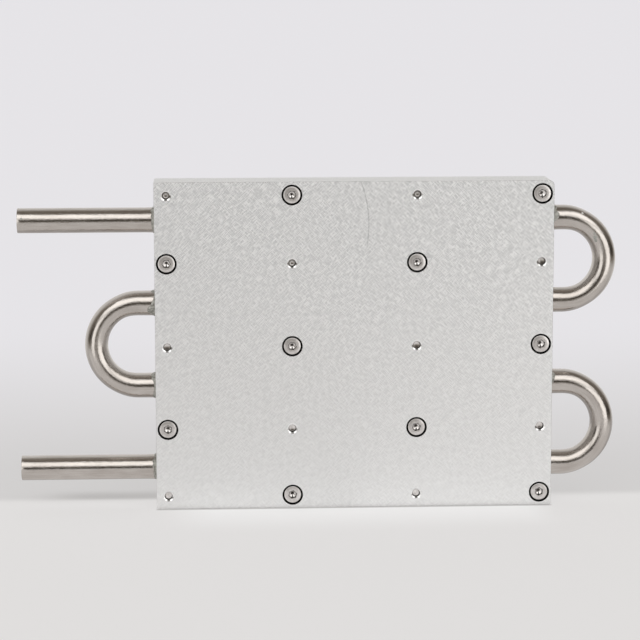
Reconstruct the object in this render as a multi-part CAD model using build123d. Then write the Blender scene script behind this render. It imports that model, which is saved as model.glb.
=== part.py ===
from build123d import *
import os

# A liquid cold plate, standing on its lower long edge. Two aluminium halves, bolted face to face,
# clamp one stainless tube that runs back and forth between them four times. Ten cap screws go in
# from the front and ten from the back, so each screw's head is beside the tips of its neighbours.
#
# Millimetres. The origin is the middle of the front face. +X runs along the plate, away from the
# two tube ends, +Y goes into the plate and +Z is up.

# Plate halves
plate_length = 159.5
plate_height = 132.0
half_thickness = 9.0
rim_chamfer = 0.12           # round the outer face
joint_chamfer = 0.12         # round the face where the halves meet
corner_radius = 0.5          # at the upper corner over the tube ends
worn_corner_radius = 2.3     # at the other upper corner, which is rounder

# Tube
tube_diameter = 10.0
tube_wall = 1.0
squeeze = 0.2                # how much flatter the bolted halves press the tube
groove_clearance = 0.1       # between the tube and its grooves, filled by thermal compound
stub_length = 54.4           # how far the tube ends stand out of the plate
settle_length = 3.0          # of a stub, beside the plate, where the squeezed tube turns round again
far_lead = 4.85              # straight, from the plate to the two bends at the far end
near_lead = 6.85             # the same to the bend on the side of the tube ends
flattening = 0.7             # how much narrower bending has left the tube, in the plane of the bend
stub_chamfer = 0.25

# Cap screws and their holes
screw_diameter = 4.0
head_diameter = 7.0
head_height = 4.0
head_bevel = 0.45
socket_width = 3.0
socket_depth = 2.0
tip_chamfer = 0.45
counterbore_clearance = 0.6  # on the radius, round the head
bolt_clearance = 0.25        # on the radius, round the shank in the half under the head
thread_clearance = 0.03      # on the radius, in the half that the screw holds by
head_sink = 0.35             # how far a head lies below its face
tip_sink = 1.6               # how far a tip stops below the other face
counterbore_chamfer = 0.1
thread_chamfer = 0.3
edge_wall = 1.15             # metal between a counterbore and the plate's long edge
end_wall = 0.65              # metal between a counterbore and the plate's end
web = 1.2                    # metal between a counterbore and the tube's groove

# How far each hexagon socket happens to be turned, against the clock from a corner at the
# viewer's right, on the front and on the back
front_turns = (52, 35, 0, 45, 48, 20, 30, 15, 15, 25)
back_turns = (8, 40, 22, 55, 12, 33, 3, 47, 27, 58)

# Worked out from those
plate_thickness = 2 * half_thickness
tube_radius = tube_diameter / 2
bore_radius = tube_radius - tube_wall
groove_depth = tube_radius - squeeze / 2 + groove_clearance
groove_half_width = tube_radius + squeeze / 2 + groove_clearance
cutter_radius = (groove_half_width**2 + groove_depth**2) / (2 * groove_depth)
head_radius = head_diameter / 2
shank_radius = screw_diameter / 2
counterbore_radius = head_radius + counterbore_clearance
seat_depth = head_sink + head_height

outer_row = plate_height / 2 - edge_wall - counterbore_radius
outer_leg = outer_row - counterbore_radius - web - groove_half_width
leg_pitch = 2 * outer_leg / 3
bend_radius = leg_pitch / 2
leg_heights = [outer_leg - leg_pitch * i for i in range(4)]
row_heights = (outer_row, leg_pitch, 0.0, -leg_pitch, -outer_row)
outer_column = plate_length / 2 - end_wall - counterbore_radius
columns = [outer_column * share for share in (-1, -1 / 3, 1 / 3, 1)]

grip = plate_length / 2
rounded = grip + settle_length
far_bend = grip + far_lead
near_bend = grip + near_lead
stub_end = grip + stub_length

head_spots = []
tip_spots = []
for row, height in enumerate(row_heights):
    for column, along in enumerate(columns):
        spots = tip_spots if (row + column) % 2 == 0 else head_spots
        spots.append((along, height))


def bar_along_y(spot, radius, depth_from, depth_to):
    """A round bar through the plate at one spot of the pattern."""
    start = Plane(origin=(spot[0], depth_from, spot[1]), x_dir=(1, 0, 0), z_dir=(0, 1, 0))
    return extrude(start * Circle(radius), amount=depth_to - depth_from)


def across_leg(along, height):
    """The plane across a leg of the tube, with its middle where the halves meet."""
    return Plane(origin=(along, half_thickness, height), x_dir=(0, 1, 0), z_dir=(1, 0, 0))


def mouth(spot, radius, chamfer_size):
    """The cone that breaks the edge of a hole at the front face."""
    start = Plane(origin=(spot[0], 0, spot[1]), x_dir=(1, 0, 0), z_dir=(0, 1, 0))
    wide = start * Circle(radius + chamfer_size)
    narrow = start.offset(chamfer_size) * Circle(radius)
    return loft([wide, narrow])


def plate_half(worn_side):
    """The front half. The back half is the same part turned round, apart from the worn corner."""
    slab = extrude(Plane.XZ * Rectangle(plate_length, plate_height), amount=-half_thickness)
    upper_corners = slab.edges().filter_by(Axis.Y).group_by(Axis.Z)[-1].sort_by(Axis.X)
    worn_corner = upper_corners[-1] if worn_side > 0 else upper_corners[0]
    sound_corner = upper_corners[0] if worn_side > 0 else upper_corners[-1]
    slab = fillet(worn_corner, worn_corner_radius)
    slab = fillet(slab.edges().filter_by(Axis.Y).sort_by_distance(sound_corner.center())[0], corner_radius)
    slab = chamfer(slab.faces().sort_by(Axis.Y)[0].edges(), rim_chamfer)
    slab = chamfer(slab.faces().sort_by(Axis.Y)[-1].edges(), joint_chamfer)
    # A groove is a little wider than twice its depth, so its cutter's axis lies past the joint
    for height in leg_heights:
        cutter = across_leg(-grip, height) * Pos(cutter_radius - groove_depth, 0) * Circle(cutter_radius)
        slab -= extrude(cutter, amount=plate_length)
    for spot in head_spots:
        slab -= bar_along_y(spot, shank_radius + bolt_clearance, 0, half_thickness)
        slab -= bar_along_y(spot, counterbore_radius, 0, seat_depth)
        slab -= mouth(spot, counterbore_radius, counterbore_chamfer)
    for spot in tip_spots:
        slab -= bar_along_y(spot, shank_radius + thread_clearance, 0, half_thickness)
        slab -= mouth(spot, shank_radius + thread_clearance, thread_chamfer)
    return slab


def cap_screw():
    """A socket head cap screw on the Y axis, at its depth in the plate, with its head at the front."""
    tip_depth = plate_thickness - tip_sink
    outline = Polyline(
        (0, head_sink),
        (head_radius - head_bevel, head_sink),
        (head_radius, head_sink + head_bevel),
        (head_radius, seat_depth),
        (shank_radius, seat_depth),
        (shank_radius, tip_depth - tip_chamfer),
        (shank_radius - tip_chamfer, tip_depth),
        (0, tip_depth),
        close=True,
    )
    screw = revolve(make_face(outline), Axis.Y)
    top = Plane(origin=(0, head_sink, 0), x_dir=(1, 0, 0), z_dir=(0, 1, 0))
    screw -= extrude(top * RegularPolygon(socket_width / 2, 6, major_radius=False), amount=socket_depth)
    return screw


def held_section(along, height, radius):
    """The tube's outside or inside across a leg, pressed flatter by the plate halves."""
    return across_leg(along, height) * Ellipse(radius - squeeze / 2, radius + squeeze / 2)


def bent_section(along, height, radius):
    """The same in a bend, which is narrower in the plane of the bend and wider across it."""
    return across_leg(along, height) * Ellipse(radius + flattening / 2, radius - flattening / 2)


def leg(height, radius, has_stub):
    """One straight leg, which ends at a bend on the far side and at a stub or a bend on the near one."""
    bar = extrude(held_section(-grip, height, radius), amount=plate_length)
    bar += loft([held_section(grip, height, radius), bent_section(far_bend, height, radius)])
    if has_stub:
        stub = across_leg(-stub_end, height) * Circle(radius)
        settled = across_leg(-rounded, height) * Circle(radius)
        bar += extrude(stub, amount=stub_end - rounded)
        bar += loft([settled, held_section(-grip, height, radius)])
    else:
        bar += loft([bent_section(-near_bend, height, radius), held_section(-grip, height, radius)])
    return bar


def bend(start, upper_height, side, radius):
    """Half a turn, from one leg down to the next."""
    hub = Axis((start, half_thickness, upper_height - bend_radius), (0, side, 0))
    return revolve(bent_section(start, upper_height, radius), hub, 180)


def serpentine(radius):
    """The four legs and three bends of the tube's outside or inside, as one bar."""
    bar = leg(leg_heights[0], radius, True)
    bar += bend(far_bend, leg_heights[0], 1, radius)
    bar += leg(leg_heights[1], radius, False)
    bar += bend(-near_bend, leg_heights[1], -1, radius)
    bar += leg(leg_heights[2], radius, False)
    bar += bend(far_bend, leg_heights[2], 1, radius)
    bar += leg(leg_heights[3], radius, True)
    return bar


def coolant_tube():
    """One tube from the inlet stub, upper left, to the outlet stub, lower left."""
    tube = serpentine(tube_radius) - serpentine(bore_radius)
    rims = tube.edges().group_by(Axis.X)[0]
    return chamfer(rims, min(stub_chamfer, tube_wall / 3))


def turned_round(piece):
    """The same piece put in from the back: half a turn about the plate's upright centre line."""
    return Pos(0, half_thickness, 0) * Rot(0, 0, 180) * Pos(0, -half_thickness, 0) * piece


nodes = {
    "front_plate": plate_half(1),
    "back_plate": turned_round(plate_half(-1)),
    "coolant_tube": coolant_tube(),
}
screw = cap_screw()
for number, spot in enumerate(head_spots):
    seated = Pos(spot[0], 0, spot[1]) * Rot(0, -front_turns[number], 0) * screw
    nodes[f"front_screw_{number + 1:02d}"] = seated
    seated = Pos(spot[0], 0, spot[1]) * Rot(0, -back_turns[number], 0) * screw
    nodes[f"back_screw_{number + 1:02d}"] = turned_round(seated)

os.makedirs("parts", exist_ok=True)
for name, solid in nodes.items():
    export_step(solid, f"parts/{name}.step")
    print(name, round(solid.volume, 2))
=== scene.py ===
# %% [markdown]
# # A liquid cooling plate, dressed for its photograph
#
# Two aluminium halves are bolted face to face round one stainless tube that runs back and forth
# between them. The solids come from the CAD model, in metres, with X along the plate, Y into it
# and Z up. This lesson keeps the two halves as they are, gives them their finish, and models again
# what needs rounder or finer forms than the solids have: the bent tube, the cap screws with their
# sockets and threads, the threads in the tapped holes and the compound squeezed out at the grooves.

# %% Load the fixed frame
import math

import bmesh
import bpy
from mathutils import Matrix, Vector, noise


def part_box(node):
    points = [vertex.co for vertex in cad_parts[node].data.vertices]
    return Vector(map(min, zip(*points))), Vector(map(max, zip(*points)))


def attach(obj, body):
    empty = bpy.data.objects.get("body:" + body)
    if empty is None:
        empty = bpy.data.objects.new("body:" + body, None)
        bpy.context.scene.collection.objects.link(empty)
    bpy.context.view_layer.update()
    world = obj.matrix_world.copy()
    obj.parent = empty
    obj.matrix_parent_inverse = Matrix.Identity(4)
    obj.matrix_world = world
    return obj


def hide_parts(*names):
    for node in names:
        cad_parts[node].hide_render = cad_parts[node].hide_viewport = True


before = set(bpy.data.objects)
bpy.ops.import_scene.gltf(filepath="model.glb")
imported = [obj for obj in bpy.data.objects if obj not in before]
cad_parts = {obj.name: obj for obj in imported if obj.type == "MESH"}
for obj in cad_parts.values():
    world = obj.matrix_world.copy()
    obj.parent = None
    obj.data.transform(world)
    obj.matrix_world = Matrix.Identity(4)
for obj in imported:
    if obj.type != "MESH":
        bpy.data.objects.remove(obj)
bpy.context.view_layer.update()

# %% Sizes taken from the frame
MM = 0.001
plate_low, plate_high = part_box("front_plate")
joint_y = plate_high.y
back_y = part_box("back_plate")[1].y
floor_z = plate_low.z
tube_end_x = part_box("coolant_tube")[0].x
far_apex_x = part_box("coolant_tube")[1].x
print("The halves meet at y =", round(joint_y / MM, 2), "mm")


# %% [markdown]
# ## Helpers for meshes
#
# A turned or drawn part is easiest to build as a row of rings. `draw_rings` extrudes the open ring
# that it gets and lays each new one at a given depth, with a radius that may change round the axis:
# a plain number for a turned part, or a function for a hexagon or a thread. Each ring also says how
# much shade is painted on the metal there, which its material reads back as an attribute.

# %% Rings
ring_segments = 48


def smooth(value, low, high):
    """0 below low, 1 above high and a smooth step between."""
    share = min(1, max(0, (value - low) / (high - low)))
    return share * share * (3 - 2 * share)


def lay_ring(bm, verts, shape, depth, painted_shade):
    """Lays vertices round the Y axis at this depth, with this radius."""
    painted_shade_layer = bm.verts.layers.float["painted_shade"]
    for vert in verts:
        angle = math.atan2(vert.co.z, vert.co.x)
        radius = shape(angle) if callable(shape) else shape
        vert.co = (radius * math.cos(angle), depth, radius * math.sin(angle))
        vert[painted_shade_layer] = painted_shade(angle) if callable(painted_shade) else painted_shade


def start_ring(shape, depth, painted_shade=0.0):
    """A new mesh with one ring round the Y axis."""
    bm = bmesh.new()
    bm.verts.layers.float.new("painted_shade")
    upright = Matrix.Rotation(math.pi / 2, 4, "X")
    bmesh.ops.create_circle(bm, cap_ends=False, segments=ring_segments, radius=1.0, matrix=upright)
    lay_ring(bm, bm.verts, shape, depth, painted_shade)
    return bm, bm.edges[:]


def extrude_ring(bm, ring):
    """Extrudes a ring of edges where it is. Gives the new vertices and the new open ring."""
    made = bmesh.ops.extrude_edge_only(bm, edges=ring)["geom"]
    verts = [item for item in made if isinstance(item, bmesh.types.BMVert)]
    edges = [item for item in made if isinstance(item, bmesh.types.BMEdge) and item.is_boundary]
    return verts, edges


def draw_rings(bm, ring, rows):
    """Extrudes a ring through a row of rings, each with its radius, its depth and its painted shade."""
    for shape, depth, painted_shade in rows:
        verts, ring = extrude_ring(bm, ring)
        lay_ring(bm, verts, shape, depth, painted_shade)
    return ring


def close_pole(bm, ring, depth, painted_shade=0.0):
    """Closes a ring with a fan of triangles that meet on the axis."""
    verts, _ = extrude_ring(bm, ring)
    lay_ring(bm, verts, 0.1 * MM, depth, painted_shade)
    bmesh.ops.pointmerge(bm, verts=verts, merge_co=(0, depth, 0))


# %% [markdown]
# Every piece is finished in the same steps. Its doubles are merged, its faces are turned outwards,
# and its edges stay sharp where they turn by more than a given angle. It rides on the plate, because
# the whole object is one rigid body, and stands in for the CAD nodes that it replaces.

# %% A finished piece
def finish_piece(bm, name, material, nodes=(), sharp=40):
    """Makes a mesh into a piece of the object, which rides on the plate and stands for its nodes."""
    bmesh.ops.remove_doubles(bm, verts=bm.verts[:], dist=0.001 * MM)
    bmesh.ops.recalc_face_normals(bm, faces=bm.faces[:])
    mesh = bpy.data.meshes.new(name)
    bm.to_mesh(mesh)
    bm.free()
    mesh.shade_smooth()
    mesh.set_sharp_from_angle(angle=math.radians(sharp))
    mesh.materials.append(material)
    piece = bpy.data.objects.new(name, mesh)
    bpy.context.scene.collection.objects.link(piece)
    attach(piece, "root")
    if nodes:
        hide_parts(*nodes)
    return piece


# %% [markdown]
# ## Helpers for materials
#
# Every finish is made of shader nodes. `add` makes one node and sets or links its inputs, so a
# pattern can be read from top to bottom. The patterns lie on Object coordinates, which are metres
# here because every piece has its place in its mesh.

# %% Shader nodes in one line
def add(tree, kind, inputs=None, **settings):
    """One shader node, with its settings, and its inputs as numbers or as other nodes' outputs."""
    made = tree.nodes.new("ShaderNode" + kind)
    for name, value in settings.items():
        setattr(made, name, value)
    for name, value in (inputs or {}).items():
        if isinstance(value, bpy.types.NodeSocket):
            tree.links.new(value, made.inputs[name])
        else:
            made.inputs[name].default_value = value
    return made


def calc(tree, operation, one, two=0.0, three=0.0):
    """The result of one Math node."""
    return add(tree, "Math", {0: one, 1: two, 2: three}, operation=operation).outputs[0]


def product(tree, first, *others):
    """Several values multiplied."""
    for other in others:
        first = calc(tree, "MULTIPLY", first, other)
    return first


def blend_colours(tree, factor, one, two):
    """A colour between two others."""
    mixed = add(tree, "Mix", {0: factor}, data_type="RGBA")
    for socket, value in ((mixed.inputs[6], one), (mixed.inputs[7], two)):
        if isinstance(value, bpy.types.NodeSocket):
            tree.links.new(value, socket)
        else:
            socket.default_value = (*value, 1)
    return mixed.outputs[2]


def ramp(tree, value, low, high, to_low=0.0, to_high=1.0):
    """A smooth step from one value to another."""
    inputs = {"Value": value, "From Min": low, "From Max": high, "To Min": to_low, "To Max": to_high}
    return add(tree, "MapRange", inputs, interpolation_type="SMOOTHSTEP").outputs["Result"]


def window(tree, value, start, full, fading, gone):
    """A rise from 0 to 1 between the first two places, and a fall back between the last two."""
    return ramp(tree, value, start, full), ramp(tree, value, fading, gone, 1.0, 0.0)


# %% Noise, new materials, bumps and depth
def grain(tree, place, sizes, angle=0.0, detail=2.0):
    """Noise with grains of the given sizes in metres along X, Y and Z, turned about the Y axis."""
    inputs = {"Vector": place, "Angle": math.radians(angle)}
    turned = add(tree, "VectorRotate", inputs, rotation_type="Y_AXIS")
    scale = tuple(1 / size for size in sizes)
    shrunk = add(tree, "Mapping", {"Vector": turned.outputs[0], "Scale": scale})
    inputs = {"Vector": shrunk.outputs[0], "Scale": 1.0, "Detail": detail, "Roughness": 0.6}
    return add(tree, "TexNoise", inputs).outputs["Fac"]


def new_material(name):
    """A material, its tree and shader, and the object's coordinates."""
    material = bpy.data.materials.new(name)
    material.use_nodes = True
    tree = material.node_tree
    place = add(tree, "TexCoord").outputs["Object"]
    return material, tree, tree.nodes["Principled BSDF"], place


def set_bump(tree, shader, height, strength, distance):
    """Raises the surface by a pattern of heights."""
    bump = add(tree, "Bump", {"Strength": strength, "Distance": distance, "Height": height})
    tree.links.new(bump.outputs[0], shader.inputs["Normal"])


def depth_below_faces(tree, y):
    """How deep a point lies below the nearer of the plate's two large faces."""
    from_joint = calc(tree, "ABSOLUTE", calc(tree, "SUBTRACT", y, joint_y))
    return calc(tree, "SUBTRACT", joint_y, from_joint)


# %% [markdown]
# ## The milled faces of the plate
#
# The large faces were fly-cut and then scuffed in two crossing directions, so the photograph shows
# short streaks that lean left and right by half a right angle. Two stretched noises, turned 45
# degrees each way, give both directions. One of them wins on the left of the face and the other on
# the right.

# %% The scuffs
streak = (3.0 * MM, 1.2 * MM, 0.35 * MM)
speck = (0.40 * MM, 0.40 * MM, 0.40 * MM)
patch = (24 * MM, 24 * MM, 24 * MM)
# The scuffs' heights lie mostly between these two
low_height, high_height = 0.46, 0.61


def scuff_height(tree, place, x, patches):
    """How high the scuffed face stands."""
    rising = grain(tree, place, streak, 45, 2.4)
    falling = grain(tree, place, streak, -45, 2.4)
    share = calc(tree, "MULTIPLY_ADD", x, 3.0, patches)
    share = ramp(tree, share, 0.2, 0.8, 0.2, 0.8)
    scuffs = add(tree, "Mix", {0: share, 2: rising, 3: falling}).outputs[0]
    crossing = calc(tree, "MAXIMUM", rising, falling)
    speckle = grain(tree, place, speck)
    height = calc(tree, "MULTIPLY_ADD", crossing, 0.55, calc(tree, "MULTIPLY", scuffs, 0.35))
    return calc(tree, "MULTIPLY_ADD", speckle, 0.1, height)


print("A streak's noise has grains of", [round(size / MM, 2) for size in streak], "mm")


# %% [markdown]
# A hairline scratch crosses the top of the front face. It is part of a thin circle, so a point is on
# it where its distance from the circle's centre is the circle's radius.

# %% The scratch
scratch_x, scratch_z = -42.9 * MM, 48.7 * MM
scratch_radius = 48.5 * MM
scratch_foot = 36 * MM


def scratch_share(tree, x, y, z, patches):
    """How strongly the scratch shows, 0 beside it."""
    across = calc(tree, "SUBTRACT", x, scratch_x)
    along = calc(tree, "SUBTRACT", z, scratch_z)
    away = add(tree, "CombineXYZ", {0: across, 1: along}).outputs[0]
    away = add(tree, "VectorMath", {0: away}, operation="LENGTH").outputs["Value"]
    away = calc(tree, "ABSOLUTE", calc(tree, "SUBTRACT", away, scratch_radius))
    line = ramp(tree, away, 0.08 * MM, 0.34 * MM, 0.3, 0.0)
    right_side = ramp(tree, across, 40 * MM, 41 * MM)
    front_face = ramp(tree, y, 0.05 * MM, 0.1 * MM, 1.0, 0.0)
    above_foot = ramp(tree, z, scratch_foot, scratch_foot + 9 * MM)
    uneven = ramp(tree, patches, 0.2, 0.45)
    return product(tree, line, right_side, front_face, above_foot, uneven)


print("The scratch is part of a circle of", round(scratch_radius / MM, 1), "mm radius")


# %% [markdown]
# The scuffs move the colour, the roughness and the bump. A painted shading makes the face lighter
# towards its foot and darker towards the upper edge, where its scuffs also show more, and the narrow
# edges are smoother than the large faces. The walls of the holes are bored, and painted nearly black
# as painted shade. The two halves keep their CAD meshes.

# %% Plate aluminium
# All holes lie nearer to the middle of the plate than this
hole_limit_x, hole_limit_z = 79.3 * MM, 65.5 * MM


def hole_shade_share(tree, x, z, below_face):
    """Where the walls of the holes get painted shade: 1 on the walls, 0 on the outside of the plate."""
    soft = 0.1 * MM
    far_x, far_z = calc(tree, "ABSOLUTE", x), calc(tree, "ABSOLUTE", z)
    inside_x = ramp(tree, far_x, hole_limit_x - soft, hole_limit_x + soft, 1.0, 0.0)
    inside_z = ramp(tree, far_z, hole_limit_z - soft, hole_limit_z + soft, 1.0, 0.0)
    inside_y = ramp(tree, below_face, 0.02 * MM, 0.12 * MM)
    return product(tree, inside_x, inside_z, inside_y)


def plate_aluminium():
    """Scuffed faces with the scratch, a painted shading darker towards the top, smoother narrow edges and
    painted shade on the walls of the holes.
    """
    material, tree, shader, place = new_material("scuffed_aluminium")
    x, y, z = add(tree, "SeparateXYZ", {0: place}).outputs
    patches = grain(tree, place, patch)
    height = scuff_height(tree, place, x, patches)
    tone = ramp(tree, height, low_height, high_height)
    below_face = depth_below_faces(tree, y)
    scuffed = ramp(tree, below_face, 0.08 * MM, 0.30 * MM, 1.0, 0.35)
    contrast = product(tree, scuffed, ramp(tree, z, plate_low.z, plate_high.z, 0.38, 0.96))
    # Painted shading: the face's colour is lighter at the foot and darker at the top
    painted_shading_tone = ramp(tree, z, plate_low.z, plate_high.z, 0.90, 0.56)
    tone = calc(tree, "MULTIPLY_ADD", calc(tree, "SUBTRACT", tone, 0.5), contrast, painted_shading_tone)
    face = blend_colours(tree, tone, (0.66, 0.663, 0.665), (0.99, 0.992, 0.99))
    scratch = scratch_share(tree, x, y, z, patches)
    face = blend_colours(tree, scratch, face, (0.12, 0.12, 0.12))
    # Painted shade: the walls of the holes are nearly black
    hole = hole_shade_share(tree, x, z, below_face)
    colour = blend_colours(tree, hole, face, (0.025, 0.023, 0.02))
    tree.links.new(colour, shader.inputs["Base Color"])
    tree.links.new(ramp(tree, tone, 0.0, 1.0, 0.55, 0.49), shader.inputs["Roughness"])
    shader.inputs["Metallic"].default_value = 1.0
    set_bump(tree, shader, height, calc(tree, "MULTIPLY", scuffed, 0.4), 0.11 * MM)
    return material


aluminium = plate_aluminium()
for name in ("front_plate", "back_plate"):
    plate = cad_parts[name]
    plate.data.materials.clear()
    plate.data.materials.append(aluminium)
    print(name, "is finished as", aluminium.name)


# %% [markdown]
# ## The cap screws
#
# A socket head cap screw is cold-headed and then rolled, so it is one turned form with a hexagon
# punched into its head. The hexagon, the knurl and the thread are rings like all the others, with a
# radius that changes with angle.

# %% The screw's sizes, as on an M4 by 12 screw
thread_pitch = 0.7 * MM
thread_depth = 0.38 * MM
head_radius = 3.5 * MM
head_height = 4.0 * MM
shank_radius = 2.0 * MM
socket_half = 1.5 * MM
socket_corner = socket_half / math.cos(math.radians(30))
cone_edge = 1.28 * MM
cone_slope = 0.60
head_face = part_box("front_screw_01")[0].y
head_seat = head_face + head_height
socket_floor = head_face + 0.85 * MM
tip_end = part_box("front_screw_01")[1].y
print("A screw is", round((tip_end - head_seat) / MM, 2), "mm long under its head")


# %% Shapes of rings, and dirt
def hexagon(half_width):
    """The radius of a hexagon with flats this far from its axis, and a corner at the right."""
    return lambda angle: half_width / math.cos(angle % math.radians(60) - math.radians(30))


def knurl(radius, groove):
    """A radius that drops at every other vertex."""
    step = math.tau / ring_segments
    return lambda angle: radius - groove * (round(angle / step) % 2)


def thread(crest, depth, strength):
    """The radius of a right-hand thread at one depth along its axis."""
    def radius(angle):
        turn = (depth / thread_pitch + angle / math.tau) % 1
        flank = min(1, max(0, 1.6 * abs(2 * turn - 1) - 0.3))
        return crest - thread_depth * strength * flank
    return radius


def painted_cone_shade(turn, least=0.0):
    """Painted shade on a cone: darkest at its lowest point once the piece is turned, and at least this
    much elsewhere.
    """
    def painted_shade(angle):
        gap = (math.degrees(angle) + turn + 90 + 180) % 360 - 180
        return max(least, 0.95 * (1 - smooth(abs(gap), 14, 26)))
    return painted_shade


# %% [markdown]
# A screw is drawn ring by ring from the conical floor of the socket, up the hexagon, over the face
# and the bevel, down the knurled side and along the thread to the tip. Each row below is a ring's
# radius, its depth and how much shade is painted on it. Painted shade darkens the tip and the lowest
# point of the socket's cone, the hexagon's walls, the knurled side in the counterbore and the edge of
# the tip. A corner of the hexagon starts at the right, and the finished screw is turned to its own
# angle.

# %% One cap screw
def start_socket(turn):
    """The socket of a screw that will be turned by this angle, up to the head's face."""
    deepest = socket_floor + cone_slope * (cone_edge - 0.12 * MM)
    # Painted shade: dark at the cone's tip and edge, in a band at its lowest point and on the hexagon's
    # walls
    bm, ring = start_ring(0.14 * MM, deepest, 0.9)
    close_pole(bm, ring, deepest, 0.95)
    ring = [edge for edge in bm.edges if edge.is_boundary]
    cone = ((0.26 * MM, 0.5), (0.38 * MM, 0.0), (0.60 * MM, 0.0), (0.90 * MM, 0.0))
    cone += ((1.12 * MM, 0.05), (cone_edge, 0.6))
    rows = []
    for radius, painted_shade in cone:
        rows.append((radius, socket_floor + cone_slope * (cone_edge - radius), painted_cone_shade(turn, painted_shade)))
    rows += [
        (hexagon(socket_half), socket_floor - 0.05 * MM, 0.95),
        (hexagon(socket_half), socket_floor - 0.40 * MM, 0.9),
        (hexagon(socket_half), head_face + 0.14 * MM, 0.8),
        (hexagon(socket_half + 0.01 * MM), head_face + 0.13 * MM, 0.0),
        (hexagon(socket_half + 0.14 * MM), head_face, 0.0),
    ]
    return bm, draw_rings(bm, ring, rows)


def head_rows():
    """Over the head's face and bevel, down the knurled side and in to the shank."""
    side = knurl(head_radius, 0.09 * MM)
    # Painted shade darkens the foot of the bevel and the knurled side, which stand in the counterbore's
    # gap
    return [
        (socket_corner + 0.35 * MM, head_face, 0.0),
        (head_radius - 0.24 * MM, head_face, 0.0),
        (head_radius - 0.15 * MM, head_face + 0.04 * MM, 0.2),
        (head_radius - 0.08 * MM, head_face + 0.12 * MM, 0.9),
        (head_radius, head_face + 0.36 * MM, 1.0),
        (side, head_face + 0.50 * MM, 1.0),
        (side, head_seat - 0.35 * MM, 1.0),
        (head_radius - 0.05 * MM, head_seat - 0.25 * MM, 1.0),
        (head_radius - 0.25 * MM, head_seat, 1.0),
        (shank_radius + 0.15 * MM, head_seat, 0.0),
        (shank_radius, head_seat + 0.15 * MM, 0.0),
    ]


def thread_rows():
    """Along the thread, which grows to its full depth over its first rings."""
    start = head_seat + 1.2 * MM
    end = tip_end - 0.50 * MM
    steps = round((end - start) / (thread_pitch / 5))
    rows = []
    for step in range(steps + 1):
        depth = start + (end - start) * step / steps
        rows.append((thread(shank_radius, depth, min(1, step / 8)), depth, 0.0))
    return rows


def tip_rows(cupped):
    """Round the edge of the tip and over it. The tip has a cup or is nearly flat."""
    # Painted shade darkens the tip's edge and a ring in its cup
    rows = [
        (shank_radius - thread_depth - 0.06 * MM, tip_end - 0.10 * MM, 0.9),
        (1.40 * MM, tip_end - 0.02 * MM, 0.8),
        (1.30 * MM, tip_end, 0.1),
    ]
    if cupped:
        return rows + [
            (1.00 * MM, tip_end - 0.02 * MM, 0.1),
            (0.80 * MM, tip_end - 0.16 * MM, 0.6),
            (0.55 * MM, tip_end - 0.20 * MM, 0.2),
            (0.20 * MM, tip_end - 0.21 * MM, 0.0),
        ]
    return rows + [(1.10 * MM, tip_end - 0.03 * MM, 0.0), (0.25 * MM, tip_end - 0.06 * MM, 0.0)]


def cap_screw(cupped, turn):
    """A screw on the Y axis, with its head at the front. It will be turned by this angle."""
    bm, ring = start_socket(turn)
    ring = draw_rings(bm, ring, head_rows() + thread_rows() + tip_rows(cupped))
    close_pole(bm, ring, tip_end - (0.21 if cupped else 0.07) * MM)
    return bm


# %% [markdown]
# The steel of the screws is satin from the pickling bath, with a fine grain. The punch has left the
# inside of the sockets smoother, so they glint. Where a ring carries painted shade, the steel is
# painted nearly black.

# %% Screw steel
def screw_steel():
    """Satin steel, smoother in the sockets and nearly black where shade is painted."""
    material, tree, shader, place = new_material("satin_screw_steel")
    painted_shade = add(tree, "Attribute", attribute_name="painted_shade").outputs["Fac"]
    fine = grain(tree, place, (0.22 * MM, 0.22 * MM, 0.22 * MM), 0, 4.0)
    cloud = grain(tree, place, (1.6 * MM, 1.6 * MM, 1.6 * MM), 0, 2.0)
    tone = calc(tree, "MULTIPLY_ADD", fine, 0.4, cloud)
    unshaded_steel = blend_colours(tree, ramp(tree, tone, 0.5, 0.9), (0.68, 0.65, 0.63), (0.86, 0.83, 0.81))
    # Painted shade: the attribute darkens the colour to nearly black
    colour = blend_colours(tree, painted_shade, unshaded_steel, (0.02, 0.018, 0.016))
    tree.links.new(colour, shader.inputs["Base Color"])
    # The socket is punched smooth, and everything below the head's face counts as that
    y = add(tree, "SeparateXYZ", {0: place}).outputs[1]
    below = ramp(tree, depth_below_faces(tree, y), head_face + 0.3 * MM, head_face + 1.0 * MM)
    rough = calc(tree, "MULTIPLY_ADD", below, -0.20, ramp(tree, tone, 0.5, 0.9, 0.34, 0.30))
    tree.links.new(rough, shader.inputs["Roughness"])
    shader.inputs["Metallic"].default_value = 1.0
    set_bump(tree, shader, fine, 0.25, 0.02 * MM)
    return material


# %% [markdown]
# Ten screws go in from the front and ten from the back, each at its own angle. The painted shade in
# a socket lies at its lowest point however the screw is turned, so every screw is drawn for its own
# angle and then moved, in its mesh, to the axis of its CAD node.

# %% The twenty screws
def seat(bm, turn, node_name, side):
    """Turns a piece drawn on the Y axis, and moves it to one screw's axis at the front or back."""
    matrix = Matrix.Rotation(-math.radians(turn), 4, "Y")
    if side == "back":
        half_turn = Matrix.Rotation(math.pi, 4, "Z")
        to_joint = Matrix.Translation((0, joint_y, 0))
        matrix = to_joint @ half_turn @ to_joint.inverted() @ matrix
    low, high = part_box(node_name)
    matrix = Matrix.Translation(((low.x + high.x) / 2, 0, (low.z + high.z) / 2)) @ matrix
    bmesh.ops.transform(bm, matrix=matrix, verts=bm.verts[:])


steel = screw_steel()
screw_turns = {
    "front": (52, 35, 0, 45, 48, 20, 30, 15, 15, 25),
    "back": (8, 40, 22, 55, 12, 33, 3, 47, 27, 58),
}
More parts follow.
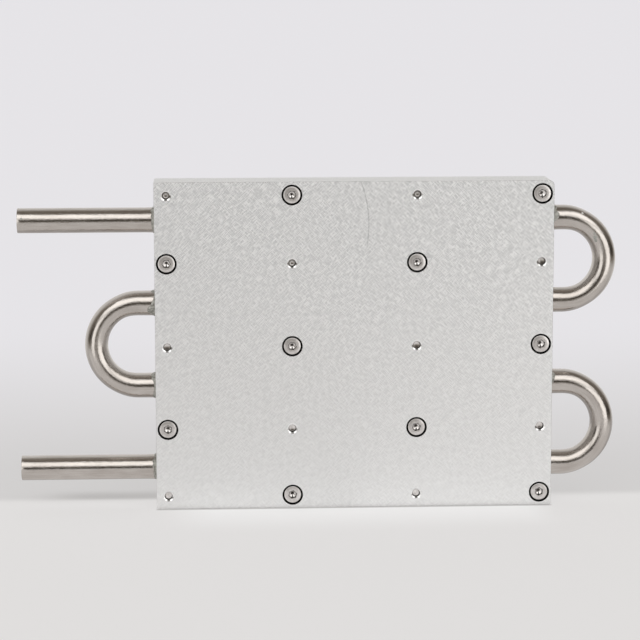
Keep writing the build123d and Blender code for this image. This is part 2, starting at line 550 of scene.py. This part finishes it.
# Of the back screws, whose tips show at the front, only these have a cup in the tip
cupped_back_screws = (0, 1, 3)
for side, turns in screw_turns.items():
    for number, turn in enumerate(turns):
        node_name = f"{side}_screw_{number + 1:02d}"
        bm = cap_screw(side == "front" or number in cupped_back_screws, turn)
        seat(bm, turn, node_name, side)
        finish_piece(bm, f"{node_name}_threaded", steel, [node_name], 30)
print("Cap screws:", sum(len(turns) for turns in screw_turns.values()))


# %% [markdown]
# ## The threads in the tapped holes
#
# Each screw stops a little below the far face, so the countersink and the first turns of the tapped
# thread stay open to view. They catch the side lights as bright crescents below the tip. The CAD
# hole is as wide as the screw, and a tapped hole is narrower by its thread, so each lining is a
# thin sleeve that fills the hole's mouth level with the face. Its inner side is the shiny
# countersink and the thread.

# %% One lining
tapped_radius = 2.03 * MM
cad_mouth = tapped_radius + 0.29 * MM
countersink_mouth = tapped_radius + 0.06 * MM
countersink_slope = 0.60
throat = 1.52 * MM
sleeve_radius = tapped_radius + 0.02 * MM
lining_end = 1.48 * MM


def thread_lining():
    """One lining on the Y axis, at the front face."""
    cone_end = countersink_slope * (countersink_mouth - throat)
    thread_start = cone_end + 0.10 * MM
    shoulder = 0.14 * MM
    # Painted shade darkens the countersink at its lowest point and the thread all round
    rows = [
        (countersink_mouth, 0.0, painted_cone_shade(0)),
        (throat + shoulder, cone_end - countersink_slope * shoulder, painted_cone_shade(0)),
        (throat, cone_end, painted_cone_shade(0, 0.8)),
        (throat, thread_start, 0.8),
    ]
    steps = 10
    for step in range(1, steps + 1):
        depth = thread_start + (lining_end - thread_start) * step / steps
        shape = thread(tapped_radius - 0.03 * MM, depth, 1 - 0.45 * min(1, step / 6))
        rows.append((shape, depth, 0.8))
    rows.append((sleeve_radius, lining_end, 0.0))
    bm, first = start_ring(cad_mouth, 0.0)
    last = draw_rings(bm, first, rows)
    bmesh.ops.bridge_loops(bm, edges=first + last)
    return bm


print("A lining is", round(lining_end / MM, 2), "mm deep")


# %% [markdown]
# The cut metal is brighter than the scuffed faces, with painted shade down the thread and at the
# countersink's lowest point. One mesh holds the ten linings of one face. Their flush outer rings
# belong to the face, so they get the plate's own aluminium as a second material.

# %% Tapped threads
def cut_aluminium():
    """The shiny cut of the countersink, with painted shade down the thread."""
    material, tree, shader, place = new_material("cut_aluminium")
    painted_shade = add(tree, "Attribute", attribute_name="painted_shade").outputs["Fac"]
    chips = grain(tree, place, (0.5 * MM, 0.5 * MM, 0.5 * MM), 0, 3.0)
    # Painted shade: the attribute darkens the cut metal
    colour = blend_colours(tree, painted_shade, (0.92, 0.918, 0.91), (0.10, 0.095, 0.09))
    tree.links.new(colour, shader.inputs["Base Color"])
    shader.inputs["Metallic"].default_value = 1.0
    tree.links.new(ramp(tree, chips, 0.3, 0.7, 0.08, 0.18), shader.inputs["Roughness"])
    set_bump(tree, shader, chips, 0.2, 0.04 * MM)
    return material


cut_metal = cut_aluminium()
for side, far_side in (("front", "back"), ("back", "front")):
    linings = bmesh.new()
    for number in range(len(screw_turns[side])):
        # The tip of the far side's screw shows in this hole
        far_screw = f"{far_side}_screw_{number + 1:02d}"
        bm = thread_lining()
        seat(bm, 0, far_screw, side)
        part = bpy.data.meshes.new("part")
        bm.to_mesh(part)
        bm.free()
        linings.from_mesh(part)
        bpy.data.meshes.remove(part)
    lining = finish_piece(linings, f"{side}_tapped_threads", cut_metal, (), 30)
    lining.data.materials.append(aluminium)
    for face in lining.data.polygons:
        on_face = min(abs(face.center.y), abs(face.center.y - back_y)) < 0.01 * MM
        face.material_index = 1 if on_face else 0
    print(lining.name, "has", len(lining.data.polygons), "faces")


# %% [markdown]
# ## The tube
#
# One stainless tube, ten millimetres across, was bent round a former three times. It is drawn as a
# skin: a ring at the inlet end is extruded along each leg and spun half a turn at each bend.

# %% The tube's route
tube_radius = 5.0 * MM
tube_wall = 1.0 * MM
leg_pitch = 33.5 * MM
bend_radius = leg_pitch / 2
leg_heights = [leg_pitch * share for share in (1.5, 0.5, -0.5, -1.5)]
flattening = 0.7 * MM
far_bend_x = far_apex_x - bend_radius - tube_radius + flattening / 2
near_bend_x = plate_low.x - 6.85 * MM
print("The bends start at x =", round(far_bend_x / MM, 2), "and", round(near_bend_x / MM, 2), "mm")


# %% The tube's skin
leg_step = 2.5 * MM


def draw_leg(bm, ring, first, last):
    """Extrudes the tube's open ring along X, in even steps."""
    count = max(1, round(abs(last - first) / leg_step))
    for index in range(count):
        verts, ring = extrude_ring(bm, ring)
        for vert in verts:
            vert.co.x = first + (last - first) * (index + 1) / count
    return ring


def draw_bend(bm, ring, hub, side):
    """Spins the tube's open ring half a turn about a hub."""
    ends = {vert for edge in ring for vert in edge.verts}
    made = bmesh.ops.spin(
        bm, geom=list(ends) + ring, cent=hub, axis=(0, side, 0), angle=math.pi, steps=44, use_merge=False
    )["geom_last"]
    return [item for item in made if isinstance(item, bmesh.types.BMEdge)]


def tube_skin():
    """The whole skin, from the inlet end to the outlet end."""
    bm = bmesh.new()
    place = Matrix.Translation((tube_end_x, joint_y, leg_heights[0]))
    place = place @ Matrix.Rotation(math.pi / 2, 4, "Y")
    bmesh.ops.create_circle(bm, cap_ends=False, segments=64, radius=tube_radius, matrix=place)
    ring = draw_leg(bm, bm.edges[:], tube_end_x, far_bend_x)
    ring = draw_bend(bm, ring, (far_bend_x, joint_y, leg_pitch), 1)
    ring = draw_leg(bm, ring, far_bend_x, near_bend_x)
    ring = draw_bend(bm, ring, (near_bend_x, joint_y, 0), -1)
    ring = draw_leg(bm, ring, near_bend_x, far_bend_x)
    ring = draw_bend(bm, ring, (far_bend_x, joint_y, -leg_pitch), 1)
    draw_leg(bm, ring, far_bend_x, tube_end_x)
    return bm


# %% [markdown]
# Bending leaves a tube narrower in the plane of the bend and a little wider across it. Its vertices
# are drawn in to that section over the first degrees of the bend, from either end. Between the
# halves the tube is pressed a little flatter, and beside the plate it is round again.

# %% The tube's section
settling_turn = 32
bend_widening = 0.05
squeeze = 0.02
settle_length = 3 * MM


def bend_hub(point):
    """The X and Z of the hub of the bend that a point lies in, or None on a straight leg."""
    if point.x > far_bend_x:
        return far_bend_x, math.copysign(leg_pitch, point.z)
    if point.x < near_bend_x and abs(point.z) < leg_pitch:
        return near_bend_x, 0.0
    return None


def press_and_flatten(bm):
    """Gives the skin its section: flatter between the halves, and narrower in the bends."""
    for vert in bm.verts:
        point = vert.co
        hub_place = bend_hub(point)
        if hub_place:
            hub = Vector((hub_place[0], 0, hub_place[1]))
            spoke = Vector((point.x - hub.x, 0, point.z - hub.z))
            turn = math.degrees(math.atan2(abs(spoke.x), abs(spoke.z)))
            strength = smooth(turn, 0, settling_turn)
            across = spoke.length - bend_radius
            new_across = across * (1 - strength * flattening / (2 * tube_radius))
            spoke = spoke.normalized() * (bend_radius + new_across)
            vert.co.x, vert.co.z = hub.x + spoke.x, hub.z + spoke.z
            vert.co.y = joint_y + (point.y - joint_y) * (1 + strength * bend_widening)
        else:
            held = 1 - smooth(abs(point.x), plate_high.x, plate_high.x + settle_length)
            leg = min(leg_heights, key=lambda height: abs(point.z - height))
            vert.co.y = joint_y + (point.y - joint_y) * (1 - squeeze * held)
            vert.co.z = leg + (point.z - leg) * (1 + squeeze * held)


# %% [markdown]
# The drawing marks of the finish follow the tube round its bends, so the finish has to know how far
# along the tube a point lies. `unbend` answers that by laying the tube out straight, and the mesh
# keeps its answers as an attribute.

# %% The tube laid out straight
first_leg = far_bend_x - tube_end_x
leg_length = far_bend_x - near_bend_x
bend_length = math.pi * bend_radius


def unbend(point):
    """(distance along the tube, across it in the bends' plane, across it into the plate)."""
    outward = point.y - joint_y
    hub_place = bend_hub(point)
    if hub_place:
        hub_x, hub_z = hub_place
        far = hub_x > 0
        aside = abs(point.x - hub_x)
        turn = math.atan2(aside, point.z - hub_z)
        across = math.hypot(aside, point.z - hub_z) - bend_radius
        bends_before = (0 if hub_z > 0 else 2) if far else 1
        start = first_leg + bends_before * (bend_length + leg_length)
        return start + turn * bend_radius, across if far else -across, outward
    leg = min(range(4), key=lambda index: abs(point.z - leg_heights[index]))
    across = point.z - leg_heights[leg]
    if leg == 0:
        return point.x - tube_end_x, across, outward
    start = first_leg + leg * bend_length + (leg - 1) * leg_length
    if leg == 2:
        return start + point.x - near_bend_x, across, outward
    return start + far_bend_x - point.x, -across, outward


tube_length = 2 * first_leg + 2 * leg_length + 3 * bend_length
print("Laid out straight, the tube is", round(tube_length / MM), "mm long")

# %% [markdown]
# The tube was drawn through a die and lightly polished along its length, so its marks are long
# and thin. They are noise on the laid-out coordinates, stretched thirty times along the tube. The
# blemishes are soft spots at the places where the photograph shows them. A spot covers the bare
# metal, so it is hardly metallic.

# %% Tube steel
dark_spot, pale_spot, grey_spot = (0.06, 0.055, 0.05), (0.99, 0.98, 0.96), (0.36, 0.37, 0.34)
# Each is a place and a width across in millimetres, and a colour
blemishes = (
    ((84.9, 4.2, 51.2), 0.5, dark_spot),
    ((85.8, 4.2, 50.8), 0.6, dark_spot),
    ((87.0, 4.2, 50.5), 0.7, dark_spot),
    ((92.0, 5.2, 52.3), 1.0, pale_spot),
    ((-132.3, 4.2, 51.6), 0.9, grey_spot),
    ((96.6, 4.1, 44.0), 1.3, grey_spot),
    ((96.9, 4.1, 42.6), 1.6, grey_spot),
    ((97.2, 4.2, 41.2), 1.3, grey_spot),
)


def tube_steel():
    """Steel with fine marks along the tube, shallow dents and a few blemishes."""
    material, tree, shader, place = new_material("drawn_tube_steel")
    laid_out = add(tree, "Attribute", attribute_name="laid_out").outputs["Vector"]
    drawn = grain(tree, laid_out, (9 * MM, 0.30 * MM, 0.30 * MM), 0, 3.0)
    dents = grain(tree, laid_out, (1.5 * MM, 0.7 * MM, 0.7 * MM), 0, 3.0)
    cloud = grain(tree, laid_out, (14 * MM, 6 * MM, 6 * MM), 0, 2.0)
    tone = calc(tree, "MULTIPLY_ADD", drawn, 0.5, calc(tree, "MULTIPLY", cloud, 0.5))
    colour = blend_colours(tree, ramp(tree, tone, 0.35, 0.65), (0.51, 0.470, 0.435), (0.62, 0.58, 0.545))
    bare = 1.0
    for spot, width, spot_colour in blemishes:
        centre = tuple(part * MM for part in spot)
        away = add(tree, "VectorMath", {0: place, 1: centre}, operation="DISTANCE").outputs["Value"]
        away = calc(tree, "MULTIPLY_ADD", dents, 1.6 * MM, away)
        share = ramp(tree, away, (0.5 * width + 0.5) * MM, (0.5 * width + 1.0) * MM, 0.9, 0.0)
        colour = blend_colours(tree, share, colour, spot_colour)
        bare = calc(tree, "SUBTRACT", bare, share)
    tree.links.new(colour, shader.inputs["Base Color"])
    # The bends are a little rougher than the legs
    marks = calc(tree, "MULTIPLY_ADD", dents, 0.5, calc(tree, "MULTIPLY", drawn, 0.5))
    x = add(tree, "SeparateXYZ", {0: place}).outputs[0]
    far = ramp(tree, x, far_bend_x, far_bend_x + 6 * MM, 0.0, 0.02)
    near = ramp(tree, x, near_bend_x - 6 * MM, near_bend_x, 0.02, 0.0)
    bent = calc(tree, "MAXIMUM", far, near)
    rough = calc(tree, "ADD", bent, ramp(tree, marks, 0.35, 0.65, 0.12, 0.19))
    tree.links.new(rough, shader.inputs["Roughness"])
    tree.links.new(calc(tree, "MAXIMUM", bare, 0.1), shader.inputs["Metallic"])
    set_bump(tree, shader, calc(tree, "MULTIPLY_ADD", dents, 2.0, drawn), 0.5, 0.04 * MM)
    return material


# %% [markdown]
# The skin gets its wall with `solidify`, which works inwards once the faces point outwards. The two
# cut ends get a small chamfer at the edges that turn sharply.

# %% The finished tube
bm = tube_skin()
press_and_flatten(bm)
bmesh.ops.recalc_face_normals(bm, faces=bm.faces[:])
bmesh.ops.solidify(bm, geom=bm.faces[:], thickness=tube_wall)
rims = [edge for edge in bm.edges if all(abs(vert.co.x - tube_end_x) < 0.01 * MM for vert in edge.verts)]
rims = [edge for edge in rims if edge.calc_face_angle(0) > math.radians(45)]
bmesh.ops.bevel(bm, geom=rims, offset=0.25 * MM, affect="EDGES", segments=2, profile=0.5, material=-1)
tube = finish_piece(bm, "serpentine_tube", tube_steel(), ["coolant_tube"])
laid_out = tube.data.attributes.new("laid_out", "FLOAT_VECTOR", "POINT")
for vert in tube.data.vertices:
    laid_out.data[vert.index].vector = unbend(vert.co)
print("Tube faces:", len(tube.data.polygons), "rim edges:", len(rims))


# %% [markdown]
# ## The compound at the grooves
#
# The grooves were filled with thermal compound before the halves were bolted together. A little of
# it was squeezed out along the tube and dried there. Each smear is a thin sleeve on the tube whose
# length changes round it, with the long tongues where the photograph shows them.

# %% One smear
smear_skin = 0.22 * MM
smear_sink = 0.25 * MM
# How high each ring stands over the tube, and how far along the smear it lies
smear_outline = (
    (smear_skin, 0.45), (0.8 * smear_skin, 0.8), (0.35 * smear_skin, 0.97),
    (-0.04 * MM, 1.0), (-smear_sink, 0.9), (-smear_sink, 0.0),
)


def smear(along, height, side, least, tongues, seed):
    """A smear at one groove's mouth. Each tongue is (angle above the front, spread, length in mm)."""
    leg_place = Vector((along, joint_y, height))

    def reach(angle, share):
        length = least
        for tongue_angle, spread, tongue_length in tongues:
            gap = (math.degrees(angle) - tongue_angle + 180) % 360 - 180
            length += tongue_length * math.exp(-((gap / spread) ** 2))
        ragged = noise.noise(Vector((3 * math.cos(angle), 3 * math.sin(angle), seed)))
        return max(0.12, length * (1 + 0.5 * ragged)) * MM * share

    def place_ring(verts, radius, share):
        for vert, angle in zip(verts, angles):
            stretch = radius + 0.10 * MM * abs(math.sin(angle)) * (1 - share)
            across = Vector((0, -math.cos(angle) * stretch, math.sin(angle) * stretch))
            vert.co = leg_place + across + Vector((side * reach(angle, share), 0, 0))

    bm = bmesh.new()
    bmesh.ops.create_circle(bm, cap_ends=False, segments=72, radius=1.0)
    angles = [math.atan2(vert.co.y, vert.co.x) for vert in bm.verts]
    first = ring = bm.edges[:]
    place_ring(bm.verts[:], tube_radius + smear_skin, 0.0)
    for rise, share in smear_outline:
        verts, ring = extrude_ring(bm, ring)
        place_ring(verts, tube_radius + rise, share)
    bmesh.ops.bridge_loops(bm, edges=first + ring)
    return bm


# %% [markdown]
# Dried compound is dull and lumpy, so one noise moves its grey and its bump. Each groove has its own
# smear, with its own tongues.

# %% Compound smears
def compound_paste():
    """Dull grey paste with small lumps."""
    material, tree, shader, place = new_material("dried_compound")
    lumps = grain(tree, place, (0.9 * MM, 0.9 * MM, 0.9 * MM), 0, 4.0)
    colour = blend_colours(tree, ramp(tree, lumps, 0.35, 0.65), (0.23, 0.225, 0.20), (0.54, 0.54, 0.50))
    tree.links.new(colour, shader.inputs["Base Color"])
    shader.inputs["Roughness"].default_value = 0.55
    set_bump(tree, shader, lumps, 0.4, 0.1 * MM)
    return material


compound = compound_paste()
# The end of the plate, the leg from the top, the least length in millimetres, and the tongues
smears = {
    "inlet": (-1, 0, 0.35, ((40, 45, 0.85), (-20, 30, 0.45), (200, 60, 0.7))),
    "near_bend_upper": (-1, 1, 0.35, ((-25, 34, 2.3), (80, 20, 1.2), (170, 50, 1.2))),
    "near_bend_lower": (-1, 2, 0.70, ((55, 30, 1.0), (-20, 40, 0.4), (210, 60, 0.6))),
    "outlet": (-1, 3, 0.40, ((20, 50, 1.0), (-50, 30, 0.5), (150, 60, 0.7))),
    "far_upper_bend_top": (1, 0, 0.18, ((12, 22, 2.6), (55, 35, 1.4), (190, 50, 1.0))),
    "far_upper_bend_foot": (1, 1, 0.15, ((180, 60, 0.6),)),
    "far_lower_bend_top": (1, 2, 0.25, ((35, 35, 1.5), (160, 50, 0.8))),
    "far_lower_bend_foot": (1, 3, 0.20, ((200, 60, 0.5),)),
}
for seed, (name, (side, leg, least, tongues)) in enumerate(smears.items()):
    along = plate_high.x if side > 0 else plate_low.x
    bm = smear(along, leg_heights[leg], side, least, tongues, 1.7 * seed)
    finish_piece(bm, f"compound_{name}", compound)
print("Compound smears:", len(smears))


# %% [markdown]
# ## Light, floor and camera
#
# Metal looks like what it mirrors, so the light is painted into the world as a studio: a wide soft
# light above the camera, one softbox on each side of it that reaches down to the table, a dark gap
# between them where the camera stands, a dark ceiling and a bright backdrop. The profile across
# the photograph's tube gave their heights, and the profile across its bends gave their sides.

# %% The studio as seen from the object
# Azimuth 0 is the camera's side and 90 is the plate's far end, and elevation 0 is the horizon.
# Each softbox has four edges, each an angle and a softness in degrees, and a strength.
softboxes = (
    {"left": (-58, 8), "right": (61, 8), "low": (20, 12), "high": (60, 8), "strength": 1.65},
    {"left": (-54, 6), "right": (-22, 6), "low": (-22, 8), "high": (20, 7), "strength": 1.4},
    {"left": (17, 6), "right": (60, 6), "low": (-22, 8), "high": (20, 7), "strength": 1.6},
)
backdrop, ceiling, table, camera_gap = 0.85, 0.20, 0.74, 0.06


def studio_level(tree, direction):
    """The light that comes from one direction."""
    toward = add(tree, "VectorMath", {0: direction}, operation="NORMALIZE").outputs[0]
    x, y, z = add(tree, "SeparateXYZ", {0: toward}).outputs
    azimuth = calc(tree, "ARCTAN2", x, calc(tree, "MULTIPLY", y, -1.0))
    azimuth = calc(tree, "MULTIPLY", azimuth, math.degrees(1))
    elevation = calc(tree, "MULTIPLY", calc(tree, "ARCSINE", z), math.degrees(1))
    front = ramp(tree, elevation, -20, 0, table, camera_gap)
    front = calc(tree, "ADD", front, ramp(tree, elevation, 0, 25, 0.0, ceiling - camera_gap))
    behind = ramp(tree, calc(tree, "MULTIPLY_ADD", x, -0.12, y), 0.0, 0.8)
    level = add(tree, "Mix", {0: behind, 2: front, 3: backdrop}).outputs[0]
    edges = (("left", azimuth, 1), ("right", azimuth, -1), ("low", elevation, 1), ("high", elevation, -1))
    for softbox in softboxes:
        share = softbox["strength"]
        for name, angle, inward in edges:
            edge, softness = softbox[name]
            inside = ramp(tree, angle, edge - inward * softness, edge + inward * softness)
            share = calc(tree, "MULTIPLY", share, inside)
        level = calc(tree, "MAXIMUM", level, share)
    return level


world = bpy.data.worlds.new("studio")
world.use_nodes = True
tree = world.node_tree
level = studio_level(tree, add(tree, "TexCoord").outputs["Generated"])
seen = add(tree, "LightPath").outputs["Is Camera Ray"]
background = tree.nodes["Background"]
warmth = blend_colours(tree, ramp(tree, level, 0.2, 0.6), (1.0, 0.90, 0.78), (1.0, 0.99, 0.975))
tree.links.new(blend_colours(tree, seen, warmth, (0.80, 0.785, 0.81)), background.inputs["Color"])
tree.links.new(add(tree, "Mix", {0: seen, 2: level, 3: 1.0}).outputs[0], background.inputs["Strength"])
bpy.context.scene.world = world
print("Softboxes:", len(softboxes))


# %% [markdown]
# The plate stands on a white table in front of a pale backdrop. The camera looks down a little, so
# one large flat floor fills the picture, and only its colour tells the table from the backdrop. Its
# colour also holds painted shadows and light: a painted shadow of the plate just behind it, where the
# backdrop starts, narrow painted shadows along the plate's foot and under the outlet, and painted
# light a little brighter in front, where the plate throws light on it.

# %% The table's colour
backdrop_shadow_start, backdrop_shadow_end = 14 * MM, 26 * MM


def table_colour(tree, x, y, backdrop_and_shadow):
    """The colour of the table and the backdrop, with painted shadows and painted light near the plate."""
    left, right = plate_low.x, plate_high.x
    # Painted shadow: darkest just behind the plate and paler far behind it
    height = ramp(tree, y, -50 * MM, 500 * MM)
    shadowed_backdrop = blend_colours(tree, height, (0.66, 0.65, 0.643), (0.875, 0.865, 0.905))
    look = blend_colours(tree, backdrop_and_shadow, (0.815, 0.803, 0.796), shadowed_backdrop)
    # Painted light: a little brighter in front of the plate
    before_y = window(tree, y, -45 * MM, -4 * MM, 0.0, 1 * MM)
    before_x = window(tree, x, left, left + 25 * MM, right - 12 * MM, right + 2 * MM)
    look = blend_colours(tree, product(tree, *before_y, *before_x), look, (0.91, 0.905, 0.90))
    # Painted shadows along the plate's foot and under the outlet
    foot_y = window(tree, y, -2.8 * MM, -1.0 * MM, 0.0, 1 * MM)
    foot_x = window(tree, x, left - 1 * MM, left + 1 * MM, right - 1 * MM, right + 1 * MM)
    foot = calc(tree, "MULTIPLY", product(tree, *foot_y, *foot_x), 0.8)
    outlet_y = window(tree, y, 16 * MM, 22 * MM, 24 * MM, 38 * MM)
    outlet_x = window(tree, x, tube_end_x, left - 25 * MM, left, left + 10 * MM)
    under_outlet = calc(tree, "MULTIPLY", product(tree, *outlet_y, *outlet_x), 0.4)
    shade = calc(tree, "MAXIMUM", foot, under_outlet)
    return blend_colours(tree, shade, look, (0.30, 0.29, 0.28))


print("The backdrop starts", round(backdrop_shadow_start / MM), "mm behind the front face")


# %% [markdown]
# Where the camera or a mirror sees the table, most of its look glows by itself, which keeps its
# colour even, and the rest is lit, which keeps the object's shadow. To the metal, the table ends an
# arm's length away, so that it mirrors the softboxes' feet, as it would beside a real table's edge.

# %% Table
def white_table():
    """A dull white whose look is painted for the camera and for mirrors."""
    material, tree, shader, place = new_material("white_table")
    shader.inputs["Base Color"].default_value = (0.88, 0.87, 0.88, 1)
    shader.inputs["Roughness"].default_value = 0.9
    shader.inputs["Specular IOR Level"].default_value = 0.0
    x, y, _ = add(tree, "SeparateXYZ", {0: place}).outputs
    backdrop_and_shadow = ramp(tree, y, backdrop_shadow_start, backdrop_shadow_end)
    look = table_colour(tree, x, y, backdrop_and_shadow)
    path = add(tree, "LightPath").outputs
    mirror = path["Is Glossy Ray"]
    seen = calc(tree, "MAXIMUM", path["Is Camera Ray"], mirror)
    # Painted shade for mirrors: behind the plate, the metal sees the table 30 % darker
    strength = calc(tree, "MULTIPLY_ADD", calc(tree, "MULTIPLY", mirror, backdrop_and_shadow), -0.3, 1.0)
    glow = add(tree, "Emission", {"Color": look, "Strength": strength}).outputs[0]
    glowing = calc(tree, "MULTIPLY", seen, 0.7)
    lit = add(tree, "MixShader", {0: glowing, 1: shader.outputs[0], 2: glow}).outputs[0]
    open_view = add(tree, "BsdfTransparent").outputs[0]
    distance = add(tree, "VectorMath", {0: place}, operation="LENGTH").outputs["Value"]
    past_edge = calc(tree, "MULTIPLY", mirror, ramp(tree, distance, 0.12, 0.45))
    table_look = add(tree, "MixShader", {0: past_edge, 1: lit, 2: open_view}).outputs[0]
    tree.links.new(table_look, tree.nodes["Material Output"].inputs["Surface"])
    return material


floor_half_size = 14.0
bm = bmesh.new()
bmesh.ops.create_grid(bm, x_segments=1, y_segments=1, size=floor_half_size)
bmesh.ops.translate(bm, verts=bm.verts[:], vec=(0, 0, floor_z))
mesh = bpy.data.meshes.new("table")
bm.to_mesh(mesh)
bm.free()
mesh.materials.append(white_table())
floor = bpy.data.objects.new("table", mesh)
bpy.context.scene.collection.objects.link(floor)
print("The table reaches", round(mesh.vertices[-1].co.x), "m to each side")

# %% [markdown]
# The camera stands in front of the plate, a little to the left and above, with a long lens. Its
# place was found from the twenty screw positions in the photograph, in degrees and metres.

# %% Camera
camera_data = bpy.data.cameras.new("camera")
camera_data.sensor_width = 36.0
camera_data.lens = 142.26
camera_data.shift_y = 0.0008
camera_data.clip_end = 60.0
camera = bpy.data.objects.new("camera", camera_data)
camera.location = (-0.0653, -0.9975, 0.1652)
camera.rotation_euler = (math.radians(90 - 8.813), math.radians(0.06), math.radians(-2.959))
bpy.context.scene.collection.objects.link(camera)
bpy.context.scene.camera = camera
bpy.context.scene.view_settings.view_transform = "Standard"
print("The camera is", round(camera.location.length, 2), "m from the middle of the front face")
